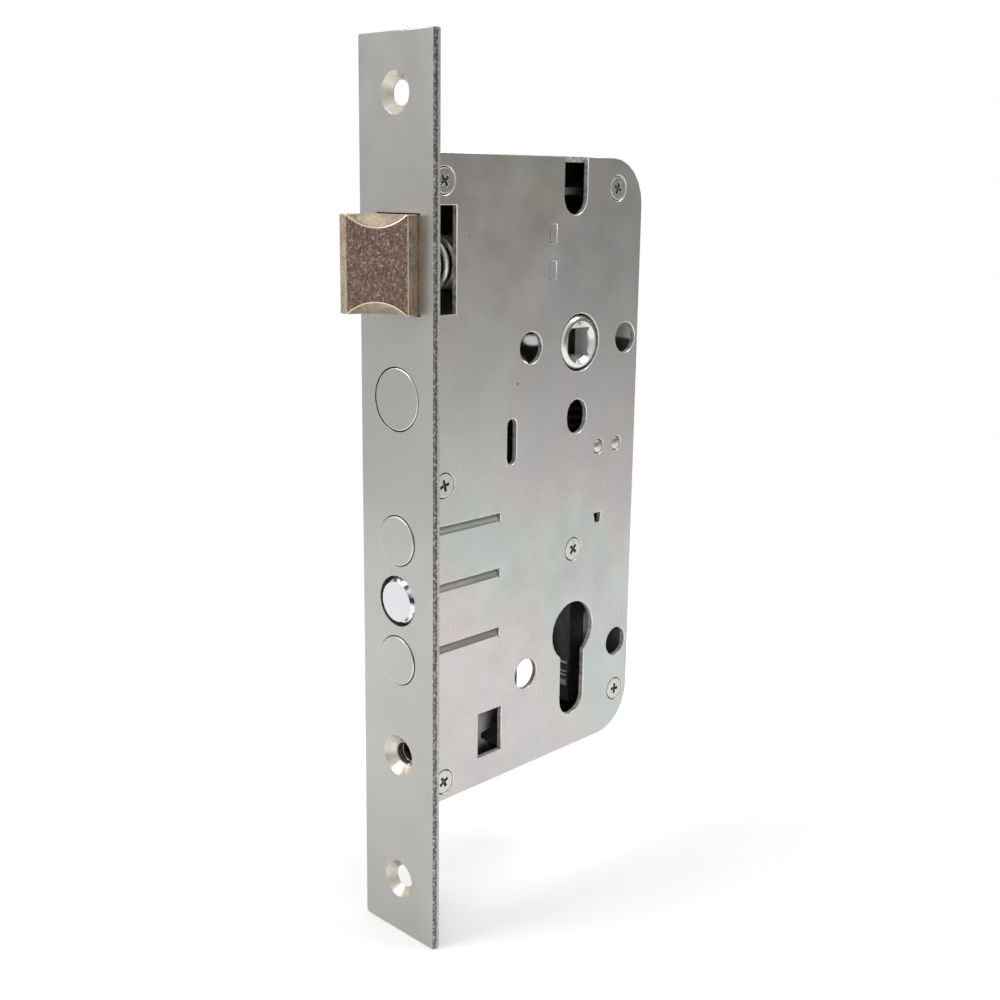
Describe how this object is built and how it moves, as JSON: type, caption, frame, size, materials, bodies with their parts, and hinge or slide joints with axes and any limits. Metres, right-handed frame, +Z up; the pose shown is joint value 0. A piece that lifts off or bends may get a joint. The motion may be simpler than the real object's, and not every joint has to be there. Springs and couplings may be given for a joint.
{
  "type": "mortise lock",
  "caption": "Door mortise lock: narrow forend with a bevelled latch and round bolts, screwed sheet case, square follower and profile-cylinder hole.",
  "frame": {"origin": "centre of the forend's front face", "axes": "+Z up along the forend, +Y into the door from the forend's front face, X across the door's thickness with the screwed cover on +X"},
  "size_m": [0.028, 0.0979, 0.24],
  "materials": {
    "forend": "satin nickel plate",
    "case": "bright zinc plate with a faint iridescence",
    "latch": "yellow zinc plate, brushed bevel",
    "follower": "polished nickel",
    "bolts": "satin nickel plate",
    "bolt_middle": "polished chrome",
    "screws": "zinc plate",
    "springs": "drawn spring wire",
    "inner": "plain steel"
  },
  "bodies": {
    "case": {"forend_plate": "forend", "forend_disc": "forend", "case_tray": "case", "case_cover": "case", "cover_screw_1": "screws", "cover_screw_2": "screws", "cover_screw_3": "screws", "cover_screw_4": "screws", "cover_screw_5": "screws", "cover_screw_6": "screws", "post_1": "inner", "post_2": "inner", "post_3": "inner", "post_4": "inner", "post_5": "inner", "post_6": "inner", "latch_guide": "case", "top_stay": "inner", "spring_seat": "inner", "seat_rivet_1": "screws", "seat_rivet_2": "screws", "screw_guide": "inner", "tumbler_pin": "inner", "latch_spring": "springs", "follower_spring": "springs", "tumbler_spring": "springs", "guard_block": "inner"},
    "latch": {"latch_bolt": "latch", "latch_stem": "inner", "stem_clip": "inner"},
    "follower": {"follower": "follower"},
    "bolts": {"bolt_upper": "bolts", "bolt_middle": "bolt_middle", "bolt_lower": "bolts", "bolt_carriage": "inner"},
    "tumbler": {"tumbler": "inner"}
  },
  "joints": [
    {"name": "follower_turn", "type": "hinge", "parent": "case", "child": "follower", "pos_m": [0, 0.06, 0.0409], "axis": [-1, 0, 0], "range_deg": [0, 43.2], "deforming": ["follower_spring"]},
    {"name": "latch_slide", "type": "slide", "parent": "case", "child": "latch", "axis": [0, 1, 0], "range_m": [0, 0.012], "stiffness_N_per_m": 120, "springref_m": -0.01, "deforming": ["latch_spring"]},
    {"name": "bolt_slide", "type": "slide", "parent": "case", "child": "bolts", "axis": [0, -1, 0], "range_m": [0, 0.02]},
    {"name": "tumbler_lift", "type": "hinge", "parent": "case", "child": "tumbler", "pos_m": [0, 0.024, 0.0108], "axis": [1, 0, 0], "range_deg": [0, 4], "stiffness_Nm_per_rad": 0.3, "springref_deg": -11.46, "deforming": ["tumbler_spring"]}
  ],
  "couplings": [
    {"joint": "follower_turn", "follows": "latch_slide", "rad_per_m": 62.83}
  ]
}
